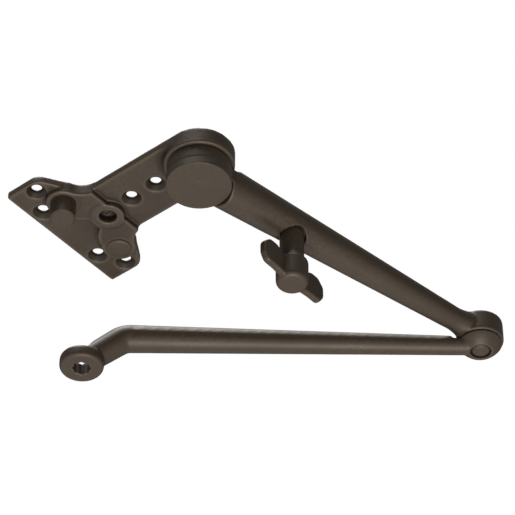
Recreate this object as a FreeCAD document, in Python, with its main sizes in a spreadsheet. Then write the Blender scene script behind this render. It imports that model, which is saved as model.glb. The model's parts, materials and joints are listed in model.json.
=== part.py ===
import FreeCAD, Part
import math
import os

import Sketcher

# Hold-open parallel arm of a door closer, hung under a door frame's soffit.
# +Z points up into the soffit, the origin is where the shoe's pivot axis meets the soffit,
# and the shoe's flared mounting plate points along -X. All sizes are in millimetres and degrees.

SIZES = [
    # shoe: the plate that is screwed to the soffit
    ("plate_thickness", 5.8),
    ("hub_radius", 24.4),
    ("hub_depth", 13.4),
    ("hub_fillet", 5.0),
    ("neck_reach", 82.0),
    ("neck_fillet", 16.0),
    ("shoulder_reach", 100.8),
    ("shoulder_fillet", 10.0),
    ("plate_reach", 128.5),
    ("wing_half_width", 55.0),
    ("corner_fillet", 2.0),
    ("web_near_reach", 76.5),
    ("web_far_reach", 96.3),
    ("web_end_half_width", 37.5),
    ("web_pad_radius", 12.2),
    ("web_depth", 9.8),
    ("edge_round", 0.8),
    # screw holes of the shoe
    ("screw_hole_radius", 3.7),
    ("screw_head_radius", 7.3),
    ("screw_head_depth", 3.6),
    ("inner_screw_reach", 39.5),
    ("middle_screw_reach", 61.7),
    ("wing_screw_reach", 108.2),
    ("wing_screw_offset", 46.5),
    ("end_screw_reach", 118.6),
    ("end_screw_offset", 28.6),
    # bosses of the shoe
    ("centre_boss_reach", 83.3),
    ("centre_boss_radius", 11.4),
    ("centre_boss_depth", 10.4),
    ("centre_bore_radius", 6.2),
    ("centre_bore_roof", 3.2),
    ("post_reach", 98.7),
    ("post_offset", 29.0),
    ("post_boss_radius", 10.3),
    ("post_boss_depth", 10.2),
    ("post_radius", 8.9),
    ("post_length", 14.5),
    ("stud_radius", 5.0),
    ("plug_rise", 1.7),
    # pivot between the shoe and the forearm
    ("pin_radius", 8.0),
    ("pin_head_radius", 10.8),
    ("pin_tail_radius", 5.2),
    ("running_clearance", 0.05),
    ("bush_wall", 4.45),
    ("bush_flange", 0.4),
    ("bush_flange_radius", 20.0),
    ("bush_sleeve", 1.3),
    ("forearm_hub_height", 11.0),
    ("forearm_hub_radius", 22.2),
    ("cap_radius", 22.6),
    ("cap_thickness", 6.3),
    ("detent_gap", 0.1),
    ("detent_lift", 2.5),
    # forearm
    ("forearm_angle", 79.0),
    ("forearm_length", 260.0),
    ("forearm_hub_end_radius", 15.5),
    ("forearm_elbow_end_radius", 7.8),
    ("forearm_axis_depth", 19.35),
    ("swing_clearance", 0.5),
    ("hub_fillet_room", 3.5),
    ("elbow_flare_room", 4.5),
    ("elbow_eye_radius", 17.1),
    ("elbow_eye_rise", 8.45),
    ("elbow_eye_drop", 9.25),
    ("elbow_eye_chamfer", 1.5),
    ("elbow_flare_length", 28.0),
    ("elbow_flare_radius", 16.5),
    ("elbow_flare_sweep", 40.0),
    # elbow joint
    ("elbow_pin_radius", 6.0),
    ("elbow_pin_head_radius", 6.9),
    ("elbow_bush_wall", 1.4),
    ("elbow_washer_thickness", 0.5),
    ("elbow_washer_radius", 14.8),
    ("counterbore_radius", 7.45),
    ("counterbore_depth", 3.2),
    # main arm
    ("fold_angle", 37.85),
    ("main_arm_length", 286.0),
    ("main_eye_radius", 16.2),
    ("main_eye_foot_radius", 8.5),
    ("main_eye_bulge", 26.0),
    ("main_eye_height", 8.2),
    ("main_arm_axis_drop", 2.3),
    ("main_arm_elbow_end_radius", 6.9),
    ("main_arm_far_end_radius", 10.2),
    ("joggle_drop", 23.8),
    ("joggle_pitch", 39.0),
    ("joggle_bend", 13.0),
    ("joggle_end_radius", 9.5),
    ("pinion_eye_radius", 16.0),
    ("pinion_eye_height", 10.4),
    ("pinion_eye_round", 3.0),
    ("spotface_radius", 8.8),
    ("star_tip_radius", 7.1),
    # thumb turn and the hold-open train that it works
    ("thumb_reach", 82.0),
    ("wing_angle", 90.0),
    ("wing_span_radius", 32.0),
    ("wing_height", 20.6),
    ("wing_corner", 4.0),
    ("wing_thickness", 5.6),
    ("wing_edge_round", 1.8),
    ("stem_radius", 8.5),
    ("stem_gap_radius", 9.9),
    ("wing_boss_radius", 11.3),
    ("wing_bottom_depth", 55.0),
    ("shaft_radius", 5.0),
    ("shaft_tip_radius", 3.2),
    ("cam_radius", 4.5),
    ("cam_cavity_radius", 8.0),
    ("cam_cavity_height", 7.8),
    ("gland_height", 3.8),
    ("train_radius", 4.5),
    ("train_gap", 0.3),
    ("roller_radius", 3.0),
    ("roller_height", 4.4),
    ("roller_pin_radius", 1.1),
    ("plunger_length", 19.0),
    ("spring_length", 30.0),
    ("spring_wire_radius", 0.6),
    ("spring_turns", 7.0),
    ("follower_nose_radius", 3.4),
    ("wing_pin_radius", 1.5),
]

UP = FreeCAD.Vector(0, 0, 1)
SHEET = "Sizes"


class Size:
    """A length or angle with the spreadsheet expression that gives it."""

    def __init__(self, value, text):
        self.value = float(value)
        self.text = text

    def join(self, other, sign, value):
        other_text = other.text if isinstance(other, Size) else repr(other)
        return Size(value, f"({self.text} {sign} {other_text})")

    def __add__(self, other):
        return self.join(other, "+", self.value + number(other))

    def __sub__(self, other):
        return self.join(other, "-", self.value - number(other))

    def __mul__(self, other):
        return self.join(other, "*", self.value * number(other))

    def __truediv__(self, other):
        return self.join(other, "/", self.value / number(other))

    def __neg__(self):
        return Size(-self.value, f"(0 - {self.text})")


def number(item):
    return item.value if isinstance(item, Size) else float(item)


def cosine(angle):
    return Size(math.cos(math.radians(angle.value)), f"cos({angle.text} * 1 deg)")


def sine(angle):
    return Size(math.sin(math.radians(angle.value)), f"sin({angle.text} * 1 deg)")


def bind(thing, prop, item):
    """Tie a property to the spreadsheet, or set it when it is a plain number."""
    if isinstance(item, Size):
        thing.setExpression(prop, item.text)


document = FreeCAD.newDocument("parallel_arm")
sheet = document.addObject("Spreadsheet::Sheet", SHEET)
size = {}
for row, (alias, value) in enumerate(SIZES, start=1):
    sheet.set(f"A{row}", alias)
    sheet.set(f"B{row}", repr(value))
    sheet.setAlias(f"B{row}", alias)
    size[alias] = Size(value, f"{SHEET}.{alias}")
document.recompute()


class Sizes:
    """The driving dimensions by name."""

    def __getattr__(self, name):
        return size[name]


S = Sizes()

# Levels, measured up from the soffit, that several pieces share.
HUB_FACE = -S.hub_depth
FOREARM_TOP = HUB_FACE - S.bush_flange - S.running_clearance
FOREARM_BOTTOM = FOREARM_TOP - S.forearm_hub_height
CAP_TOP = FOREARM_BOTTOM - S.bush_flange - S.running_clearance
CAP_BOTTOM = CAP_TOP - S.cap_thickness
ARM_AXIS = -S.forearm_axis_depth
ELBOW_TOP = ARM_AXIS + S.elbow_eye_rise
ELBOW_SPLIT = ARM_AXIS - S.elbow_eye_drop
WASHER_TOP = ELBOW_SPLIT - S.running_clearance
MAIN_TOP = WASHER_TOP - S.elbow_washer_thickness
MAIN_BOTTOM = MAIN_TOP - S.main_eye_height
MAIN_AXIS = MAIN_TOP - S.main_arm_axis_drop
PINION_MID = MAIN_AXIS - S.joggle_drop
HUB_BORE = S.pin_radius + S.running_clearance + S.bush_wall
DETENT_RADIUS = HUB_BORE - S.detent_gap
ROLLER_REACH = DETENT_RADIUS + S.train_gap + S.roller_radius
CAVITY_TOP = ARM_AXIS + S.cam_cavity_height / 2
CAVITY_BOTTOM = ARM_AXIS - S.cam_cavity_height / 2
GLAND_BOTTOM = CAVITY_BOTTOM - S.gland_height
STEM_TOP = GLAND_BOTTOM - 0.4
WING_BOTTOM = ARM_AXIS - S.wing_bottom_depth
# A flat-faced follower on an eccentric disc moves by the eccentricity times the root of two
# while the disc turns a quarter turn about its middle position.
CAM_OFFSET = S.detent_lift / math.sqrt(2)
FOLLOWER_END = S.thumb_reach - S.cam_radius + CAM_OFFSET / math.sqrt(2) - S.train_gap

# Places of the joints in plan.
THUMB_X = S.thumb_reach * cosine(S.forearm_angle)
THUMB_Y = S.thumb_reach * sine(S.forearm_angle)
ELBOW_X = S.forearm_length * cosine(S.forearm_angle)
ELBOW_Y = S.forearm_length * sine(S.forearm_angle)
MAIN_ARM_ANGLE = S.forearm_angle + 180 - S.fold_angle
PIVOT = (0, 0)
THUMB = (THUMB_X, THUMB_Y)
ELBOW = (ELBOW_X, ELBOW_Y)
SHOE_PLACE = (PIVOT, None)
FOREARM_PLACE = (PIVOT, S.forearm_angle)
THUMB_PLACE = (THUMB, S.forearm_angle)
WING_PLACE = (THUMB, S.wing_angle)
MAIN_ARM_PLACE = (ELBOW, MAIN_ARM_ANGLE)

sub_parts = []


# ---------------------------------------------------------------- modelling helpers


def new_body(label, place):
    """A body whose own frame stands at a point in plan, turned about the vertical."""
    body = document.addObject("PartDesign::Body", label)
    body.Label = label
    (x, y), angle = place
    turn = number(angle) if angle is not None else 0
    base = FreeCAD.Vector(number(x), number(y), 0)
    body.Placement = FreeCAD.Placement(base, FreeCAD.Rotation(UP, turn))
    bind(body, "Placement.Base.x", x)
    bind(body, "Placement.Base.y", y)
    if angle is not None:
        bind(body, "Placement.Rotation.Angle", angle)
    sub_parts.append(body)
    return body


def new_sketch(body, name, plane="XY_Plane", level=0, pitch=0, shift=0):
    """A sketch on a plane of the body's origin, moved along its normal by level."""
    sketch = body.newObject("Sketcher::SketchObject", f"{body.Label}_{name}")
    support = next(item for item in body.Origin.OriginFeatures if item.Role == plane)
    sketch.AttachmentSupport = [(support, "")]
    sketch.MapMode = "FlatFace"
    base = FreeCAD.Vector(0, number(shift), number(level))
    turn = FreeCAD.Rotation(FreeCAD.Vector(1, 0, 0), number(pitch))
    sketch.AttachmentOffset = FreeCAD.Placement(base, turn)
    bind(sketch, "AttachmentOffset.Rotation.Angle", pitch)
    bind(sketch, "AttachmentOffset.Base.z", level)
    bind(sketch, "AttachmentOffset.Base.y", shift)
    return sketch


def fix(sketch, kind, element, point, item, name):
    """Dimension one point of a sketch from its origin."""
    index = sketch.addConstraint(Sketcher.Constraint(kind, -1, 1, element, point, number(item)))
    sketch.renameConstraint(index, name)
    bind(sketch, f"Constraints.{name}", item)


def draw_polygon(sketch, corners):
    """A closed outline of straight sides through the corners."""
    first = sketch.GeometryCount
    spots = [FreeCAD.Vector(number(x), number(y), 0) for x, y in corners]
    count = len(spots)
    for index in range(count):
        sketch.addGeometry(Part.LineSegment(spots[index], spots[(index + 1) % count]), False)
    for index in range(count):
        following = first + (index + 1) % count
        sketch.addConstraint(Sketcher.Constraint("Coincident", first + index, 2, following, 1))
    for index, (x, y) in enumerate(corners):
        fix(sketch, "DistanceX", first + index, 1, x, f"across_{first + index}")
        fix(sketch, "DistanceY", first + index, 1, y, f"along_{first + index}")


def draw_path(sketch, stops):
    """A closed outline. A stop with a third value is reached by an arc of that radius:
    positive where the arc turns anticlockwise, negative where it turns clockwise."""
    first = sketch.GeometryCount
    count = len(stops)
    ends = []
    for index, stop in enumerate(stops):
        start = FreeCAD.Vector(*[number(item) for item in stops[index - 1][:2]], 0)
        end = FreeCAD.Vector(*[number(item) for item in stop[:2]], 0)
        if len(stop) == 2:
            sketch.addGeometry(Part.LineSegment(start, end), False)
            ends.append((1, 2))
            continue
        radius = number(stop[2])
        chord = end - start
        rise = math.sqrt(radius**2 - (chord.Length / 2) ** 2)
        sideways = FreeCAD.Vector(-chord.y, chord.x, 0).normalize()
        centre = (start + end) * 0.5 + sideways * math.copysign(rise, radius)
        first_end, last_end = (start, end) if radius > 0 else (end, start)
        angles = [math.atan2(spot.y - centre.y, spot.x - centre.x) for spot in (first_end, last_end)]
        circle = Part.Circle(centre, UP, abs(radius))
        sketch.addGeometry(Part.ArcOfCircle(circle, angles[0], angles[1]), False)
        ends.append((1, 2) if radius > 0 else (2, 1))
    for index, stop in enumerate(stops):
        element = first + index
        here = ends[index][1]
        following = (index + 1) % count
        join = ("Coincident", element, here, first + following, ends[following][0])
        sketch.addConstraint(Sketcher.Constraint(*join))
    for index, stop in enumerate(stops):
        element = first + index
        here = ends[index][1]
        fix(sketch, "DistanceX", element, here, stop[0], f"across_{element}")
        fix(sketch, "DistanceY", element, here, stop[1], f"along_{element}")
        if len(stop) == 3:
            radius = stop[2] if number(stop[2]) > 0 else -stop[2]
            turn = sketch.addConstraint(Sketcher.Constraint("Radius", element, number(radius)))
            sketch.renameConstraint(turn, f"radius_{element}")
            bind(sketch, f"Constraints.radius_{element}", radius)


def draw_circle(sketch, x, y, radius):
    element = sketch.GeometryCount
    centre = FreeCAD.Vector(number(x), number(y), 0)
    sketch.addGeometry(Part.Circle(centre, UP, number(radius)), False)
    fix(sketch, "DistanceX", element, 3, x, f"across_{element}")
    fix(sketch, "DistanceY", element, 3, y, f"along_{element}")
    index = sketch.addConstraint(Sketcher.Constraint("Radius", element, number(radius)))
    sketch.renameConstraint(index, f"radius_{element}")
    bind(sketch, f"Constraints.radius_{element}", radius)


def add_feature(body, kind, name, sketch, **values):
    feature = body.newObject(f"PartDesign::{kind}", f"{body.Label}_{name}")
    feature.Profile = sketch
    for prop, item in values.items():
        setattr(feature, prop, number(item) if isinstance(item, Size) else item)
        bind(feature, prop, item)
    document.recompute()
    return feature


def raise_pad(body, name, sketch, depth):
    """Grow a sketch downwards by depth."""
    return add_feature(body, "Pad", name, sketch, Length=depth, Reversed=True)


def cut_down(body, name, sketch, depth=None):
    """Cut everything below a sketch, or only as deep as depth."""
    if depth is None:
        return add_feature(body, "Pocket", name, sketch, Type="ThroughAll")
    return add_feature(body, "Pocket", name, sketch, Length=depth)


def cut_up(body, name, sketch, depth=None):
    """Cut everything above a sketch, or only as far as depth."""
    if depth is None:
        return add_feature(body, "Pocket", name, sketch, Type="ThroughAll", Reversed=True)
    return add_feature(body, "Pocket", name, sketch, Length=depth, Reversed=True)


def turn_profile(body, name, profile, kind="Revolution"):
    """Turn a profile of (radius, height) corners about the body's vertical axis."""
    sketch = new_sketch(body, f"{name}_profile", "XZ_Plane")
    draw_path(sketch, profile)
    return add_feature(body, kind, name, sketch, ReferenceAxis=(sketch, ["V_Axis"]), Angle=360)


def turn_along(body, name, profile, kind="Revolution"):
    """Turn a profile of (distance along, radius) corners about the forearm's long axis."""
    sketch = new_sketch(body, f"{name}_profile", "XZ_Plane")
    draw_path(sketch, [(stop[0], ARM_AXIS + stop[1], *stop[2:]) for stop in profile])
    axis = sketch.GeometryCount
    level = number(ARM_AXIS)
    sketch.addGeometry(
        Part.LineSegment(FreeCAD.Vector(0, level, 0), FreeCAD.Vector(10, level, 0)), True
    )
    sketch.addConstraint(Sketcher.Constraint("Horizontal", axis))
    fix(sketch, "DistanceX", axis, 1, 0, "axis_start")
    fix(sketch, "DistanceX", axis, 2, 10, "axis_end")
    fix(sketch, "DistanceY", axis, 1, ARM_AXIS, "axis_level")
    return add_feature(body, kind, name, sketch, ReferenceAxis=(sketch, ["Axis0"]), Angle=360)


def turned_piece(label, place, profile):
    body = new_body(label, place)
    turn_profile(body, "turned", profile)
    return body


def ring_profile(inner, outer, bottom, top):
    return [(inner, bottom), (outer, bottom), (outer, top), (inner, top)]


def pick_edges(feature, test):
    """Names of the feature's edges that pass a test."""
    return [
        f"Edge{index}" for index, edge in enumerate(feature.Shape.Edges, start=1) if test(edge)
    ]


def dress_edges(body, kind, name, feature, test, item):
    """Round or bevel the edges that pass a test."""
    names = pick_edges(feature, test)
    if not names:
        raise RuntimeError(f"{body.Label}: no edges for {name}")
    dressed = body.newObject(f"PartDesign::{kind}", f"{body.Label}_{name}")
    dressed.Base = (feature, names)
    prop = "Radius" if kind == "Fillet" else "Size"
    setattr(dressed, prop, number(item))
    bind(dressed, prop, item)
    document.recompute()
    return dressed


def is_ring(edge, x, y, z, radius, slack=0.01):
    """Whether an edge is part of a level circle with this centre and radius."""
    if not isinstance(edge.Curve, Part.Circle):
        return False
    centre = edge.Curve.Center
    gap = abs(centre.x - number(x)) + abs(centre.y - number(y)) + abs(centre.z - number(z))
    return gap < slack and abs(edge.Curve.Radius - number(radius)) < slack


def is_upright_at(edge, x, y, slack=0.01):
    """Whether an edge is a vertical line through a point in plan."""
    box = edge.BoundBox
    if box.XLength > slack or box.YLength > slack:
        return False
    return abs(box.XMin - number(x)) < slack and abs(abs(box.YMin) - number(y)) < slack


# ---------------------------------------------------------------- shoe


def make_plate_blank(body):
    """The flared plate at the full depth of its web, with its plan corners rounded."""
    outline = new_sketch(body, "outline")
    half = S.hub_radius
    side = [
        (0, half),
        (-S.neck_reach, half),
        (-S.shoulder_reach, S.wing_half_width),
        (-S.plate_reach, S.wing_half_width),
    ]
    draw_polygon(outline, side + [(x, -y) for x, y in reversed(side)])
    blank = raise_pad(body, "blank", outline, S.web_depth)
    corners = [
        ("neck", S.neck_reach, half, S.neck_fillet),
        ("shoulders", S.shoulder_reach, S.wing_half_width, S.shoulder_fillet),
        ("corners", S.plate_reach, S.wing_half_width, S.corner_fillet),
    ]
    for name, reach, offset, radius in corners:
        blank = dress_edges(
            body, "Fillet", name, blank, lambda edge: is_upright_at(edge, -reach, offset), radius
        )
    return blank


def thin_plate(body):
    """Leave the full depth only in the web that joins the bosses."""
    past = S.plate_reach + 10
    near = new_sketch(body, "bar_side", level=-S.plate_thickness)
    draw_polygon(
        near,
        [
            (-S.web_near_reach, -past),
            (past, -past),
            (past, past),
            (-S.web_near_reach, past),
        ],
    )
    cut_down(body, "bar_thinning", near)
    far = new_sketch(body, "end_side", level=-S.plate_thickness)
    bow = S.post_reach + S.web_pad_radius * 0.67
    waist = [
        (-S.web_far_reach, S.web_pad_radius * 0.5),
        (-bow, S.post_offset - S.web_pad_radius * 0.75, -S.web_pad_radius * 1.6),
        (-S.post_reach, S.post_offset),
        (-S.post_reach, S.web_end_half_width),
        (-S.centre_boss_reach, S.web_end_half_width),
        (-S.centre_boss_reach, past),
        (-past, past),
    ]
    mirrored = [(-past, -past), (-S.centre_boss_reach, -past)]
    mirrored += [(-S.centre_boss_reach, -S.web_end_half_width)]
    mirrored += [(-S.post_reach, -S.web_end_half_width), (-S.post_reach, -S.post_offset)]
    mirrored += [(-bow, S.web_pad_radius * 0.75 - S.post_offset)]
    mirrored += [(-S.web_far_reach, -S.web_pad_radius * 0.5, -S.web_pad_radius * 1.6)]
    draw_path(far, waist + mirrored)
    cut_down(body, "end_thinning", far)


def add_hub_fillet(body):
    """The cast fillet where the round hub stands out of the bar, within the bar's width."""
    sketch = new_sketch(body, "fillet_profile", "YZ_Plane")
    underside = -S.plate_thickness
    reach = S.hub_radius + S.hub_fillet
    foot = underside - S.hub_fillet
    inner = S.pin_head_radius + 1
    draw_path(
        sketch,
        [
            (reach, underside),
            (S.hub_radius, foot, S.hub_fillet),
            (inner, foot),
            (inner, underside + 1),
            (reach, underside + 1),
        ],
    )
    half_turn = {"ReferenceAxis": (sketch, ["V_Axis"]), "Angle": 180}
    add_feature(body, "Revolution", "hub_fillet", sketch, **half_turn)
    sides = new_sketch(body, "fillet_sides")
    past = reach + 5
    for side in (1, -1):
        near = S.hub_radius * side
        draw_polygon(sides, [(-past, near), (0, near), (0, past * side), (-past, past * side)])
    cut_down(body, "fillet_sides", sides)


def plate_boss_places():
    places = [(-S.centre_boss_reach, 0, S.centre_boss_radius, S.centre_boss_depth)]
    for side in (1, -1):
        places.append((-S.post_reach, S.post_offset * side, S.web_pad_radius, S.web_depth))
        places.append((-S.post_reach, S.post_offset * side, S.post_boss_radius, S.post_boss_depth))
    return places


def screw_places():
    places = [(-S.inner_screw_reach, 0), (-S.middle_screw_reach, 0)]
    for side in (1, -1):
        places.append((-S.wing_screw_reach, S.wing_screw_offset * side))
        places.append((-S.end_screw_reach, S.end_screw_offset * side))
    return places


def cut_screw_holes(body):
    """Countersunk holes for flat-headed screws, driven from below."""
    for index, (x, y) in enumerate(screw_places()):
        shank = new_sketch(body, f"screw_{index}")
        draw_circle(shank, x, y, S.screw_hole_radius)
        cut_down(body, f"screw_hole_{index}", shank)
    for index, (x, y) in enumerate(screw_places()):
        wide = new_sketch(body, f"head_{index}", level=-S.plate_thickness)
        draw_circle(wide, x, y, S.screw_hole_radius)
        feature = cut_up(body, f"head_seat_{index}", wide, 0.5)
        level = -S.plate_thickness
        dress_edges(
            body,
            "Chamfer",
            f"countersink_{index}",
            feature,
            lambda edge: is_ring(edge, x, y, level, S.screw_hole_radius),
            S.screw_head_depth,
        )


def make_soffit_plate():
    body = new_body("soffit_plate", SHOE_PLACE)
    make_plate_blank(body)
    thin_plate(body)
    add_hub_fillet(body)
    hub = new_sketch(body, "hub")
    draw_circle(hub, 0, 0, S.hub_radius)
    raise_pad(body, "hub", hub, S.hub_depth)
    for index, (x, y, radius, depth) in enumerate(plate_boss_places()):
        boss = new_sketch(body, f"boss_{index}")
        draw_circle(boss, x, y, radius)
        raise_pad(body, f"boss_{index}", boss, depth)
    cut_screw_holes(body)
    studs = new_sketch(body, "studs")
    for side in (1, -1):
        draw_circle(studs, -S.post_reach, S.post_offset * side, S.stud_radius)
    cut_down(body, "stud_holes", studs)
    bore = new_sketch(body, "centre_bore", level=-S.centre_bore_roof)
    draw_circle(bore, -S.centre_boss_reach, 0, S.centre_bore_radius)
    cut_down(body, "centre_bore", bore)
    tap = new_sketch(body, "centre_tap")
    draw_circle(tap, -S.centre_boss_reach, 0, S.centre_bore_radius / 3)
    cut_down(body, "centre_tap", tap)
    seat = [
        (0, 0),
        (S.pin_head_radius, 0),
        (S.pin_head_radius, -0.6),
        (S.pin_radius, -3.4),
        (S.pin_radius, HUB_FACE - 1),
        (0, HUB_FACE - 1),
    ]
    return turn_profile(body, "pin_seat", seat, "Groove")


def make_stop_post():
    """The steel post that stops the opening forearm, with its stud in the plate."""
    top = -S.post_boss_depth
    bottom = top - S.post_length
    profile = [
        (0, -0.4),
        (S.stud_radius, -0.4),
        (S.stud_radius, top),
        (S.post_radius, top),
        (S.post_radius, bottom + 1),
        (S.post_radius - 1, bottom),
        (0, bottom),
    ]
    turned_piece("stop_post", ((-S.post_reach, -S.post_offset), None), profile)


def make_blank_plug():
    """The domed plug in the post hole of the other hand."""
    top = -S.post_boss_depth
    rim = S.post_radius
    profile = [
        (0, -0.4),
        (S.stud_radius, -0.4),
        (S.stud_radius, top),
        (rim, top),
        (rim, top - S.plug_rise * 0.4),
        (rim * 0.8, top - S.plug_rise * 0.8),
        (rim * 0.4, top - S.plug_rise),
        (0, top - S.plug_rise),
    ]
    turned_piece("blank_plug", ((-S.post_reach, S.post_offset), None), profile)


def make_centre_screw():
    """The small adjusting screw at the bottom of the centre bore."""
    roof = -S.centre_bore_roof
    shank = S.centre_bore_radius / 3
    head = shank * 1.7
    body = turned_piece(
        "centre_screw",
        ((-S.centre_boss_reach, 0), None),
        [
            (0, -0.6),
            (shank, -0.6),
            (shank, roof),
            (head, roof),
            (head, roof - 1.8),
            (head * 0.7, roof - 2.6),
            (0, roof - 2.6),
        ],
    )
    slot = new_sketch(body, "slot", level=roof - 1.6)
    half = head * 0.16
    draw_polygon(slot, [(-head, -half), (head, -half), (head, half), (-head, half)])
    cut_down(body, "slot", slot)


def make_pivot_pin():
    """The riveted pin: its head is sunk in the plate and its tail holds the cap."""
    turned_piece(
        "pivot_pin",
        SHOE_PLACE,
        [
            (0, 0),
            (S.pin_head_radius, 0),
            (S.pin_head_radius, -0.6),
            (S.pin_radius, -3.4),
            (S.pin_radius, CAP_TOP),
            (S.pin_tail_radius, CAP_TOP),
            (S.pin_tail_radius, CAP_BOTTOM),
            (S.pin_tail_radius * 0.7, CAP_BOTTOM - 0.3),
            (0, CAP_BOTTOM - 0.35),
        ],
    )


def make_detent_ring():
    """The ring on the pin whose notches hold the arm open."""
    body = new_body("detent_ring", SHOE_PLACE)
    top = FOREARM_TOP - S.bush_sleeve - S.running_clearance
    bottom = FOREARM_BOTTOM + S.bush_sleeve + S.running_clearance
    turn_profile(body, "ring", ring_profile(S.pin_radius, DETENT_RADIUS, bottom, top))
    notches = new_sketch(body, "notches")
    reach = ROLLER_REACH - S.detent_lift
    for swing in (0, HUB_SWING[0], HUB_SWING[1]):
        angle = S.forearm_angle + swing
        draw_circle(notches, reach * cosine(angle), reach * sine(angle), S.roller_radius + 0.3)
    return cut_down(body, "notches", notches)


def make_hub_cap():
    body = turned_piece(
        "hub_cap",
        SHOE_PLACE,
        ring_profile(S.pin_tail_radius, S.cap_radius, CAP_BOTTOM, CAP_TOP),
    )
    dress_edges(
        body,
        "Fillet",
        "rim",
        body.Tip,
        lambda edge: is_ring(edge, 0, 0, CAP_BOTTOM, S.cap_radius),
        S.edge_round,
    )


# ---------------------------------------------------------------- forearm


def make_forearm():
    body = new_body("forearm", FOREARM_PLACE)
    length = S.forearm_length
    eye = new_sketch(body, "eye", level=ELBOW_TOP)
    draw_circle(eye, length, 0, S.elbow_eye_radius)
    eye_pad = raise_pad(body, "eye", eye, S.elbow_eye_rise + S.elbow_eye_drop)
    for name, level in (("eye_top", ELBOW_TOP), ("eye_foot", ELBOW_SPLIT)):
        eye_pad = dress_edges(
            body,
            "Fillet",
            name,
            eye_pad,
            lambda edge: is_ring(edge, length, 0, level, S.elbow_eye_radius),
            S.elbow_eye_chamfer,
        )
    taper = [(0, 0), (length, 0), (length, S.forearm_elbow_end_radius), (0, S.forearm_hub_end_radius)]
    turn_along(body, "taper", taper)
    flare_start = length - S.elbow_eye_radius - S.elbow_flare_length / 2
    flare_end = flare_start + S.elbow_flare_length
    slope = (S.forearm_hub_end_radius - S.forearm_elbow_end_radius) / length
    flush = S.forearm_hub_end_radius - slope * flare_start
    turn_along(
        body,
        "elbow_flare",
        [
            (flare_start, 0),
            (flare_end, 0),
            (flare_end, S.elbow_flare_radius),
            (flare_start, flush, -S.elbow_flare_sweep),
        ],
    )
    for name, level, cut in (("eye_face", ELBOW_TOP, cut_up), ("eye_back", ELBOW_SPLIT, cut_down)):
        face = new_sketch(body, name, level=level)
        reach = S.elbow_eye_radius + S.elbow_flare_length
        draw_circle(face, length, 0, reach)
        cut(body, name, face)
    above = new_sketch(body, "hub_room", level=FOREARM_TOP)
    draw_circle(above, 0, 0, S.hub_radius + S.hub_fillet_room)
    cut_up(body, "hub_room", above)
    below = new_sketch(body, "cap_room", level=FOREARM_BOTTOM)
    draw_circle(below, 0, 0, S.cap_radius + S.swing_clearance)
    cut_down(body, "cap_room", below)
    crown = new_sketch(body, "crown", level=-S.plate_thickness - S.swing_clearance)
    past = S.forearm_hub_end_radius + 5
    draw_polygon(crown, [(0, -past), (length, -past), (length, past), (0, past)])
    cut_up(body, "crown", crown)
    hub = new_sketch(body, "hub", level=FOREARM_TOP)
    draw_circle(hub, 0, 0, S.forearm_hub_radius)
    raise_pad(body, "hub", hub, S.forearm_hub_height)
    bore = new_sketch(body, "hub_bore")
    draw_circle(bore, 0, 0, HUB_BORE)
    draw_circle(bore, length, 0, S.elbow_pin_radius)
    cut_down(body, "bores", bore)
    cut_hold_open_room(body)


def cut_hold_open_room(body):
    """The bore for the hold-open train, the cam's cavity and the recess round the stem."""
    train_end = S.thumb_reach - S.stem_gap_radius - 0.1
    room = S.train_radius + S.running_clearance
    turn_along(body, "train", [(0, 0), (train_end, 0), (train_end, room), (0, room)], "Groove")
    nose_room = S.follower_nose_radius + S.running_clearance
    nose_end = S.thumb_reach
    turn_along(
        body, "nose", [(0, 0), (nose_end, 0), (nose_end, nose_room), (0, nose_room)], "Groove"
    )
    cavity = new_sketch(body, "cavity", level=CAVITY_TOP)
    draw_circle(cavity, S.thumb_reach, 0, S.cam_cavity_radius)
    cut_down(body, "cavity", cavity)
    tip = new_sketch(body, "tip_bore", level=CAVITY_TOP + 6.2)
    draw_circle(tip, S.thumb_reach, 0, S.shaft_tip_radius + S.running_clearance)
    cut_down(body, "tip_bore", tip, 8)
    recess = new_sketch(body, "recess", level=CAVITY_BOTTOM)
    draw_circle(recess, S.thumb_reach, 0, S.stem_gap_radius)
    cut_down(body, "recess", recess)


def make_hub_bush(label, flange_top, sleeve_bottom, sleeve_top):
    """A flanged bush that carries the forearm's hub on the pivot pin."""
    body = new_body(label, FOREARM_PLACE)
    inner = S.pin_radius + S.running_clearance
    sleeve = ring_profile(inner, HUB_BORE, sleeve_bottom, sleeve_top)
    turn_profile(body, "sleeve", sleeve)
    flange_bottom = flange_top - S.bush_flange
    flange = ring_profile(inner, S.bush_flange_radius, flange_bottom, flange_top)
    turn_profile(body, "flange", flange)


def make_elbow_pin():
    """The riveted elbow pin, pressed in the forearm's eye, with a domed lower head."""
    shoulder = MAIN_BOTTOM + S.counterbore_depth - S.running_clearance
    head = S.elbow_pin_head_radius
    turned_piece(
        "elbow_pin",
        (ELBOW, S.forearm_angle),
        [
            (0, ELBOW_TOP - 0.3),
            (S.elbow_pin_radius, ELBOW_TOP - 0.3),
            (S.elbow_pin_radius, shoulder),
            (head, shoulder),
            (head, shoulder - 0.9),
            (head * 0.86, shoulder - 1.9),
            (head * 0.6, shoulder - 2.6),
            (head * 0.3, shoulder - 2.95),
            (0, shoulder - 3.05),
        ],
    )


def make_turn_bush():
    """The gland that carries the thumb turn's shaft in the forearm."""
    inner = S.shaft_radius + S.running_clearance
    profile = ring_profile(inner, S.stem_gap_radius, GLAND_BOTTOM, CAVITY_BOTTOM)
    turned_piece("turn_bush", THUMB_PLACE, profile)


# ---------------------------------------------------------------- hold-open train


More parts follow.
